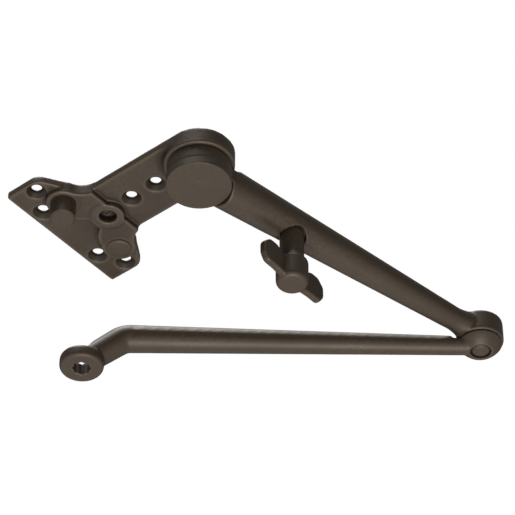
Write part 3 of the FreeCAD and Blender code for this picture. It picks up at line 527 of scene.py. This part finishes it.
def build_turned_lines():
    """Height of the fine rings that a lathe leaves, and a mask for the oil that lies in them."""
    group = new_group(
        "Turned Lines",
        "ShaderNodeTree",
        [
            ("Vector", "NodeSocketVector", None),
            ("Line Scale", "NodeSocketFloat", 1500.0),
            ("Wander", "NodeSocketFloat", 1.5),
        ],
        [("Height", "NodeSocketFloat"), ("Oil", "NodeSocketFloat")],
    )
    start = add_node(group, "NodeGroupInput", (-700, 0))
    rings = add_node(group, "ShaderNodeTexWave", (-450, 150), bands_direction="Z", inputs={"Detail": 2.0})
    oil = add_node(group, "ShaderNodeTexNoise", (-450, -150), inputs={"Scale": 130.0, "Detail": 3.0})
    end = add_node(group, "NodeGroupOutput", (-150, 0))
    link = group.links.new
    link(start.outputs["Vector"], rings.inputs["Vector"])
    link(start.outputs["Line Scale"], rings.inputs["Scale"])
    link(start.outputs["Wander"], rings.inputs["Distortion"])
    link(start.outputs["Vector"], oil.inputs["Vector"])
    link(rings.outputs["Fac"], end.inputs["Height"])
    link(oil.outputs["Fac"], end.inputs["Oil"])
    return group


def shared_group(name, build):
    """The node group of that name, built once."""
    return bpy.data.node_groups.get(name) or build()


# ---------------------------------------------------------------- materials


def new_material(name, metallic, specular=0.5):
    """A material with a Principled shader, and Object coordinates for its patterns."""
    material = bpy.data.materials.new(name)
    material.use_nodes = True
    tree = material.node_tree
    shader = tree.nodes["Principled BSDF"]
    shader.inputs["Metallic"].default_value = metallic
    shader.inputs["Specular IOR Level"].default_value = specular
    place = add_node(tree, "ShaderNodeTexCoord", (-1300, 0))
    return material, tree, shader, place.outputs["Object"]


def add_bump(tree, shader, height, strength, distance):
    """A bump that feeds the shader's normal."""
    bump = add_node(tree, "ShaderNodeBump", (-250, -350), inputs={"Strength": strength, "Distance": distance})
    tree.links.new(height, bump.inputs["Height"])
    tree.links.new(bump.outputs["Normal"], shader.inputs["Normal"])


def opaque(colour):
    """A colour with its alpha."""
    return (*colour, 1.0)


def paint_material(name, grain, film, bump_strength, bump_depth):
    """Satin bronze paint, with metal flake in it, over a surface with its own grain."""
    paint = bpy.context.scene.closer_paint
    material, tree, shader, vector = new_material(name, FLAKE_SHARE)
    surface = place_group(tree, shared_group("Surface Grain", build_surface_grain), (-950, -250), grain)
    values = {
        "Open": opaque(paint.bronze),
        # The dark tone gives the mottle and the painted shade in the hollows.
        "Pooled": opaque(paint.bronze_mottle_and_shade),
        "Thin": opaque(paint.bronze_crest),
        "Gloss Low": paint.paint_roughness - GLOSS_BELOW,
        "Gloss High": paint.paint_roughness + GLOSS_ABOVE,
    }
    values.update(film)
    coat = place_group(tree, shared_group("Paint Film", build_paint_film), (-600, 150), values)
    tree.links.new(vector, surface.inputs["Vector"])
    tree.links.new(vector, coat.inputs["Vector"])
    tree.links.new(surface.outputs["Mask"], coat.inputs["Grain"])
    tree.links.new(coat.outputs["Color"], shader.inputs["Base Color"])
    tree.links.new(coat.outputs["Roughness"], shader.inputs["Roughness"])
    add_bump(tree, shader, surface.outputs["Height"], bump_strength, bump_depth)
    return material


def metal_material(name, colour, oiled, roughness, lines, bump_strength, bump_depth):
    """Turned metal, its colour multiplied by the share oiled where oil lies on it."""
    material, tree, shader, vector = new_material(name, 1.0)
    dark = [oiled * part for part in colour]
    turned = place_group(tree, shared_group("Turned Lines", build_turned_lines), (-950, 0), lines)
    tint = add_node(tree, "ShaderNodeMix", (-500, 150), data_type="RGBA")
    tint.inputs[MIX_FIRST].default_value = opaque(colour)
    tint.inputs[MIX_SECOND].default_value = opaque(dark)
    gloss = add_node(
        tree,
        "ShaderNodeMapRange",
        (-500, -120),
        inputs={"To Min": roughness - 0.08, "To Max": roughness + 0.12},
    )
    tree.links.new(vector, turned.inputs["Vector"])
    tree.links.new(turned.outputs["Oil"], tint.inputs[MIX_SHARE])
    tree.links.new(turned.outputs["Oil"], gloss.inputs["Value"])
    tree.links.new(tint.outputs[MIX_COLOUR], shader.inputs["Base Color"])
    tree.links.new(gloss.outputs["Result"], shader.inputs["Roughness"])
    add_bump(tree, shader, turned.outputs["Height"], bump_strength, bump_depth)
    return material


def make_forged_paint():
    """Paint over a forged and blasted skin."""
    return paint_material(
        "Forged Bronze Paint",
        {"Grain Scale": 420.0, "Grain Share": 0.55, "Pit Scale": 210.0, "Pit Depth": 0.20},
        {"Mottle Scale": 30.0, "Mottle Share": 0.30, "Crest Share": 0.55},
        bump_strength=0.30,
        bump_depth=0.00035,
    )


def make_cast_paint():
    """Paint over the coarser skin of the soffit plate."""
    return paint_material(
        "Cast Bronze Paint",
        {"Grain Scale": 300.0, "Grain Share": 0.75, "Pit Scale": 150.0, "Pit Depth": 0.35},
        {"Mottle Scale": 24.0, "Mottle Share": 0.62, "Crest Share": 0.75},
        bump_strength=0.42,
        bump_depth=0.00045,
    )


def make_turned_paint():
    """Paint over turned parts."""
    return paint_material(
        "Turned Bronze Paint",
        {"Grain Scale": 700.0, "Grain Share": 0.35, "Pit Scale": 260.0, "Pit Depth": 0.10},
        {"Mottle Scale": 36.0, "Mottle Share": 0.22, "Crest Share": 0.0},
        bump_strength=0.20,
        bump_depth=0.00025,
    )


def make_ground_steel():
    """Ground steel of the hold-open train and the detent ring."""
    return metal_material(
        "Ground Steel",
        bpy.context.scene.closer_paint.steel,
        oiled=0.55,
        roughness=0.28,
        lines={"Line Scale": 1800.0},
        bump_strength=0.10,
        bump_depth=0.00006,
    )


def make_bearing_bronze():
    """Oil-soaked bronze of the bushes and the washer."""
    return metal_material(
        "Bearing Bronze",
        bpy.context.scene.closer_paint.bearing,
        oiled=0.5,
        roughness=0.40,
        lines={"Line Scale": 1100.0},
        bump_strength=0.15,
        bump_depth=0.00008,
    )


def make_spring_wire():
    """Oil-tempered wire."""
    return metal_material(
        "Spring Wire",
        bpy.context.scene.closer_paint.spring,
        oiled=0.5,
        roughness=0.34,
        lines={"Line Scale": 2600.0, "Wander": 4.0},
        bump_strength=0.08,
        bump_depth=0.00005,
    )


FINISHES = {
    "Forged Bronze Paint": make_forged_paint,
    "Cast Bronze Paint": make_cast_paint,
    "Turned Bronze Paint": make_turned_paint,
    "Ground Steel": make_ground_steel,
    "Bearing Bronze": make_bearing_bronze,
    "Spring Wire": make_spring_wire,
}


def finish_named(name):
    """A finish by name, made once."""
    return bpy.data.materials.get(name) or FINISHES[name]()


# ---------------------------------------------------------------- geometry


def build_settled_skin():
    """Geometry nodes that ease a skin's corners, wave its faces and store where it is a crest or a hollow."""
    tree = new_group(
        "Settled Skin",
        "GeometryNodeTree",
        [
            ("Geometry", "NodeSocketGeometry", None),
            ("Passes", "NodeSocketInt", 4),
            ("Waviness", "NodeSocketFloat", 0.0001),
            ("Wave Scale", "NodeSocketFloat", 95.0),
            ("Crest Depth", "NodeSocketFloat", 0.0002),
            ("Crest Passes", "NodeSocketInt", 6),
            ("Paint", "NodeSocketMaterial", None),
        ],
        [("Geometry", "NodeSocketGeometry")],
    )
    start = add_node(tree, "NodeGroupInput", (-1300, 0))
    here = add_node(tree, "GeometryNodeInputPosition", (-1300, -250))
    settled = add_node(tree, "GeometryNodeBlurAttribute", (-1050, -150), data_type="FLOAT_VECTOR")
    settle = add_node(tree, "GeometryNodeSetPosition", (-820, 0))
    waves = add_node(tree, "ShaderNodeTexNoise", (-1050, 500), noise_dimensions="3D", inputs={"Detail": 2.0})
    swing = add_node(tree, "ShaderNodeMath", (-860, 500), operation="SUBTRACT")
    swing.inputs[1].default_value = 0.5
    depth = add_node(tree, "ShaderNodeMath", (-700, 500), operation="MULTIPLY")
    outward = add_node(tree, "GeometryNodeInputNormal", (-860, 700))
    wander = add_node(tree, "ShaderNodeVectorMath", (-540, 600), operation="SCALE")
    waved = add_node(tree, "GeometryNodeSetPosition", (-400, 200))
    after = add_node(tree, "GeometryNodeInputPosition", (-1050, -420))
    around = add_node(tree, "GeometryNodeBlurAttribute", (-820, -350), data_type="FLOAT_VECTOR")
    lift = add_node(tree, "ShaderNodeVectorMath", (-600, -350), operation="SUBTRACT")
    facing = add_node(tree, "GeometryNodeInputNormal", (-820, -600))
    along = add_node(tree, "ShaderNodeVectorMath", (-400, -350), operation="DOT_PRODUCT")
    share = add_node(tree, "ShaderNodeMath", (-200, -350), operation="DIVIDE")
    store = add_node(tree, "GeometryNodeStoreNamedAttribute", (0, 0), data_type="FLOAT", domain="POINT")
    store.inputs["Name"].default_value = "crest"
    smooth = add_node(tree, "GeometryNodeSetShadeSmooth", (220, 0))
    realize = add_node(tree, "GeometryNodeRealizeInstances", (420, 0))
    paint = add_node(tree, "GeometryNodeSetMaterial", (620, 0))
    end = add_node(tree, "NodeGroupOutput", (840, 0))
    link = tree.links.new
    link(start.outputs["Geometry"], settle.inputs["Geometry"])
    link(here.outputs["Position"], settled.inputs["Value"])
    link(start.outputs["Passes"], settled.inputs["Iterations"])
    link(settled.outputs["Value"], settle.inputs["Position"])
    link(start.outputs["Wave Scale"], waves.inputs["Scale"])
    link(waves.outputs["Fac"], swing.inputs[0])
    link(swing.outputs["Value"], depth.inputs[0])
    link(start.outputs["Waviness"], depth.inputs[1])
    link(outward.outputs["Normal"], wander.inputs[0])
    link(depth.outputs["Value"], wander.inputs["Scale"])
    link(settle.outputs["Geometry"], waved.inputs["Geometry"])
    link(wander.outputs["Vector"], waved.inputs["Offset"])
    link(waved.outputs["Geometry"], store.inputs["Geometry"])
    link(after.outputs["Position"], around.inputs["Value"])
    link(start.outputs["Crest Passes"], around.inputs["Iterations"])
    link(after.outputs["Position"], lift.inputs[0])
    link(around.outputs["Value"], lift.inputs[1])
    link(lift.outputs["Vector"], along.inputs[0])
    link(facing.outputs["Normal"], along.inputs[1])
    link(along.outputs["Value"], share.inputs[0])
    link(start.outputs["Crest Depth"], share.inputs[1])
    link(share.outputs["Value"], store.inputs["Value"])
    link(store.outputs["Geometry"], smooth.inputs["Geometry"])
    link(smooth.outputs["Geometry"], realize.inputs["Geometry"])
    link(realize.outputs["Geometry"], paint.inputs["Geometry"])
    link(start.outputs["Paint"], paint.inputs["Material"])
    link(paint.outputs["Geometry"], end.inputs["Geometry"])
    return tree


def merged_copy(node, name):
    """A new object with a CAD node's shape, its loose triangles merged into one closed skin."""
    mesh = frame["nodes"][node].data.copy()
    mesh.name = name
    shape = bmesh.new()
    shape.from_mesh(mesh)
    bmesh.ops.remove_doubles(shape, verts=shape.verts, dist=MERGE_DISTANCE)
    shape.to_mesh(mesh)
    shape.free()
    mesh.materials.clear()
    piece = bpy.data.objects.new(name, mesh)
    bpy.context.scene.collection.objects.link(piece)
    return piece


def plain_mesh(piece, name):
    """The piece's evaluated shape as a plain mesh object at the origin; the piece itself is removed."""
    graph = bpy.context.evaluated_depsgraph_get()
    mesh = bpy.data.meshes.new_from_object(piece.evaluated_get(graph), depsgraph=graph)
    old = piece.data
    bpy.data.objects.remove(piece)
    if old.users == 0 and isinstance(old, bpy.types.Mesh):
        bpy.data.meshes.remove(old)
    mesh.name = name
    made = bpy.data.objects.new(name, mesh)
    bpy.context.scene.collection.objects.link(made)
    return made


def mesh_points(mesh):
    """The points of a mesh, a row each."""
    points = np.empty(len(mesh.vertices) * 3)
    mesh.vertices.foreach_get("co", points)
    return points.reshape(-1, 3)


def keep_inside(piece, node):
    """Holds every point inside the CAD node's own box, so that the skin never outgrows the forging."""
    low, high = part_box(node)
    points = np.clip(mesh_points(piece.data), np.array(low), np.array(high))
    piece.data.vertices.foreach_set("co", points.ravel())
    piece.data.update()


def screw_axes():
    """The places of the plate's screw holes, from the record's bolt patterns, in plan."""
    places = []
    for mount in frame["record"]["mounts"]:
        if mount["kind"] != "bolt_pattern":
            continue
        x, y = mount["pos_m"][:2]
        for way in (-0.5, 0.5):
            shift_x = way * mount["dims"].get("spacing_x_mm", 0.0) * MM
            shift_y = way * mount["dims"].get("spacing_y_mm", 0.0) * MM
            places.append((x + shift_x, y + shift_y))
    return places


def paint_shade_in_screw_holes(piece):
    """Marks the screw holes and countersinks as full hollows, so that they take the painted shade."""
    points = mesh_points(piece.data)
    stored = piece.data.attributes["crest"].data
    crest = np.empty(len(points))
    stored.foreach_get("value", crest)
    inside = (points[:, 2] > PLATE_FACE + COUNTERSINK_LIP) & (points[:, 2] < -COUNTERSINK_LIP)
    for x, y in screw_axes():
        reach = np.hypot(points[:, 0] - x, points[:, 1] - y)
        crest[inside & (reach < COUNTERSINK_RADIUS)] = FULL_HOLLOW
    stored.foreach_set("value", crest)


def forge_skin(node, paint_name):
    """A forging's painted skin: the CAD shape redrawn evenly, its corners eased, and painted."""
    skin = bpy.context.scene.closer_skin
    body, step, settle, waviness, crest_passes = FORGINGS[node]
    tree = shared_group("Settled Skin", build_settled_skin)
    draft = merged_copy(node, f"{node}_draft")
    even = draft.modifiers.new("Even Skin", "REMESH")
    even.mode = "VOXEL"
    even.voxel_size = getattr(skin, step)
    ease = draft.modifiers.new("Settled Skin", "NODES")
    ease.node_group = tree
    values = {
        "Passes": getattr(skin, settle),
        "Waviness": getattr(skin, waviness),
        "Crest Depth": skin.crest_depth,
        "Crest Passes": crest_passes,
        "Paint": finish_named(paint_name),
    }
    for label, value in values.items():
        ease[socket_identifier(tree, label)] = value
    piece = plain_mesh(draft, f"{node}_skin")
    keep_inside(piece, node)
    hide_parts(node)
    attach(piece, body)
    return piece


def finish_nodes(names, material_name):
    """Gives CAD nodes their finish and leaves their shapes as they are."""
    material = finish_named(material_name)
    for name in names:
        piece = frame["nodes"][name]
        if not piece.material_slots:
            piece.data.materials.append(material)
        for holder in piece.material_slots:
            holder.material = material


# ---------------------------------------------------------------- operators


class CLOSERARM_OT_forge_soffit_plate(Operator):
    """Make the painted skin of the soffit plate"""

    bl_idname = "closerarm.forge_soffit_plate"
    bl_label = "Soffit Plate"

    def execute(self, context):
        paint_shade_in_screw_holes(forge_skin("soffit_plate", "Cast Bronze Paint"))
        return {"FINISHED"}


class CLOSERARM_OT_forge_arms(Operator):
    """Make the painted skins of the forearm and the main arm"""

    bl_idname = "closerarm.forge_arms"
    bl_label = "Forearm and Main Arm"

    def execute(self, context):
        forge_skin("forearm", "Forged Bronze Paint")
        forge_skin("main_arm", "Forged Bronze Paint")
        return {"FINISHED"}


class CLOSERARM_OT_forge_thumb_wing(Operator):
    """Make the painted skin of the hold-open's thumb wing"""

    bl_idname = "closerarm.forge_thumb_wing"
    bl_label = "Thumb Wing"

    def execute(self, context):
        forge_skin("thumb_wing", "Forged Bronze Paint")
        return {"FINISHED"}


class CLOSERARM_OT_finish_turnings(Operator):
    """Paint the hub cap, stop post, plug, pins, screw and turned shaft"""

    bl_idname = "closerarm.finish_turnings"
    bl_label = "Cap, Post, Pins and Turned Shaft"

    def execute(self, context):
        finish_nodes(PAINTED_TURNINGS, "Turned Bronze Paint")
        finish_nodes(PAINTED_PINS, "Turned Bronze Paint")
        return {"FINISHED"}


class CLOSERARM_OT_finish_works(Operator):
    """Finish the bearings, the hold-open train and its spring"""

    bl_idname = "closerarm.finish_works"
    bl_label = "Bearings and Hold-open Train"

    def execute(self, context):
        finish_nodes(BEARINGS, "Bearing Bronze")
        finish_nodes(GROUND_STEEL, "Ground Steel")
        finish_nodes(("hold_open_spring",), "Spring Wire")
        return {"FINISHED"}


class CLOSERARM_OT_set_stage(Operator):
    """Lay the floor, hang the lights and stand the camera"""

    bl_idname = "closerarm.set_stage"
    bl_label = "Stage"

    def execute(self, context):
        stage = context.scene.closer_stage
        make_floor(stage)
        make_room_light(stage)
        make_lights(stage)
        make_camera(stage)
        return {"FINISHED"}


def make_floor(stage):
    """The plain pale floor, far below the soffit."""
    half = stage.floor_side / 2
    mesh = bpy.data.meshes.new("floor")
    corners = [(-half, -half), (half, -half), (half, half), (-half, half)]
    mesh.from_pydata([(x, y, -stage.floor_drop) for x, y in corners], [], [(0, 1, 2, 3)])
    material, tree, shader, vector = new_material("Pale Floor", 0.0, 0.2)
    wash = add_node(tree, "ShaderNodeTexNoise", (-600, 0), inputs={"Scale": 2.0})
    tint = add_node(tree, "ShaderNodeMix", (-300, 0), data_type="RGBA")
    tint.inputs[MIX_FIRST].default_value = opaque(stage.floor_colour)
    tint.inputs[MIX_SECOND].default_value = opaque([0.98 * part for part in stage.floor_colour])
    tree.links.new(vector, wash.inputs["Vector"])
    tree.links.new(wash.outputs["Fac"], tint.inputs[MIX_SHARE])
    tree.links.new(tint.outputs[MIX_COLOUR], shader.inputs["Base Color"])
    shader.inputs["Roughness"].default_value = 0.9
    mesh.materials.append(material)
    floor = bpy.data.objects.new("floor", mesh)
    bpy.context.scene.collection.objects.link(floor)


def make_room_light(stage):
    """A white room that shows plain behind the part and lights it evenly."""
    world = bpy.data.worlds.new("Pale Room")
    world.use_nodes = True
    tree = world.node_tree
    seen = tree.nodes["Background"]
    seen.inputs["Color"].default_value = (1.0, 1.0, 1.0, 1.0)
    seen.inputs["Strength"].default_value = 1.0
    lit = add_node(tree, "ShaderNodeBackground", (0, -150), inputs={"Color": (1.0, 0.985, 0.96, 1.0)})
    lit.inputs["Strength"].default_value = stage.sky_strength
    path = add_node(tree, "ShaderNodeLightPath", (-250, 200))
    pick = add_node(tree, "ShaderNodeMixShader", (250, 0))
    tree.links.new(path.outputs["Is Camera Ray"], pick.inputs[0])
    tree.links.new(lit.outputs["Background"], pick.inputs[1])
    tree.links.new(seen.outputs["Background"], pick.inputs[2])
    tree.links.new(pick.outputs["Shader"], tree.nodes["World Output"].inputs["Surface"])
    bpy.context.scene.world = world
    bpy.context.scene.view_settings.view_transform = "Standard"


def camera_axes(stage):
    """The camera's right, up and forward directions, with the camera level side to side."""
    forward = Vector(stage.camera_aim).normalized()
    right = forward.cross(Vector((0.0, 0.0, 1.0))).normalized()
    up = right.cross(forward).normalized()
    return right, up, forward


def make_soft_light(name, place, target, side, power):
    """A large square light that the camera doesn't see."""
    light = bpy.data.lights.new(name, "AREA")
    light.shape = "SQUARE"
    light.size = side
    light.energy = power
    lamp = bpy.data.objects.new(name, light)
    turn = (target - place).to_track_quat("-Z", "Y").to_matrix()
    lamp.matrix_world = Matrix.Translation(place) @ turn.to_4x4()
    lamp.visible_camera = False
    bpy.context.scene.collection.objects.link(lamp)


def make_lights(stage):
    """A weak key under the part, beside the camera, and an overhead light that the floor throws back."""
    low, high = CAD_BOX
    middle = (low + high) / 2
    right, _, forward = camera_axes(stage)
    key_place = middle - KEY_BACK * forward + KEY_RIGHT * right + Vector((0.0, 0.0, -KEY_DOWN))
    make_soft_light("key_light", key_place, middle, KEY_SIDE, stage.key_power)
    overhead = bpy.data.lights.new("overhead_light", "SUN")
    overhead.energy = stage.overhead_strength
    overhead.angle = OVERHEAD_ANGLE
    lamp = bpy.data.objects.new("overhead_light", overhead)
    lamp.matrix_world = Matrix.Rotation(OVERHEAD_TILT, 4, "X")
    bpy.context.scene.collection.objects.link(lamp)


def make_camera(stage):
    """The scene's camera."""
    right, up, forward = camera_axes(stage)
    lens = bpy.data.cameras.new("camera")
    lens.sensor_width = SENSOR_WIDTH_MM
    lens.lens = stage.camera_lens
    lens.clip_start = NEAR_CLIP
    lens.clip_end = FAR_CLIP
    camera = bpy.data.objects.new("camera", lens)
    turn = Matrix((right, up, -forward)).transposed()
    camera.matrix_world = Matrix.Translation(Vector(stage.camera_place)) @ turn.to_4x4()
    bpy.context.scene.collection.objects.link(camera)
    bpy.context.scene.camera = camera


# ---------------------------------------------------------------- panel


MAKERS = (
    CLOSERARM_OT_set_stage,
    CLOSERARM_OT_forge_soffit_plate,
    CLOSERARM_OT_forge_arms,
    CLOSERARM_OT_forge_thumb_wing,
    CLOSERARM_OT_finish_turnings,
    CLOSERARM_OT_finish_works,
)


class CLOSERARM_PT_sidebar(Panel):
    """Sizes, colours and the operators of the closer arm set"""

    bl_idname = "CLOSERARM_PT_sidebar"
    bl_label = "Closer Arm"
    bl_space_type = "VIEW_3D"
    bl_region_type = "UI"
    bl_category = "Closer Arm"

    def draw(self, context):
        layout = self.layout
        for title, settings in (
            ("Skin", context.scene.closer_skin),
            ("Paint", context.scene.closer_paint),
            ("Stage", context.scene.closer_stage),
        ):
            box = layout.box()
            box.label(text=title)
            for name in settings.__annotations__:
                box.prop(settings, name)
        for maker in MAKERS:
            layout.operator(maker.bl_idname)


SETTINGS = {
    "closer_skin": CloserSkinSettings,
    "closer_paint": CloserPaintSettings,
    "closer_stage": CloserStageSettings,
}


def register():
    """Registers the settings, the operators and the panel."""
    for name, group in SETTINGS.items():
        bpy.utils.register_class(group)
        setattr(bpy.types.Scene, name, PointerProperty(type=group))
    for maker in MAKERS:
        bpy.utils.register_class(maker)
    bpy.utils.register_class(CLOSERARM_PT_sidebar)


def unregister():
    """Takes everything that register() added away again."""
    bpy.utils.unregister_class(CLOSERARM_PT_sidebar)
    for maker in reversed(MAKERS):
        bpy.utils.unregister_class(maker)
    for name, group in reversed(SETTINGS.items()):
        delattr(bpy.types.Scene, name)
        bpy.utils.unregister_class(group)


def main():
    """Makes the whole scene in order."""
    register()
    bpy.ops.closerarm.set_stage()
    bpy.ops.closerarm.forge_soffit_plate()
    bpy.ops.closerarm.forge_arms()
    bpy.ops.closerarm.forge_thumb_wing()
    bpy.ops.closerarm.finish_turnings()
    bpy.ops.closerarm.finish_works()


if __name__ == "__main__":
    main()
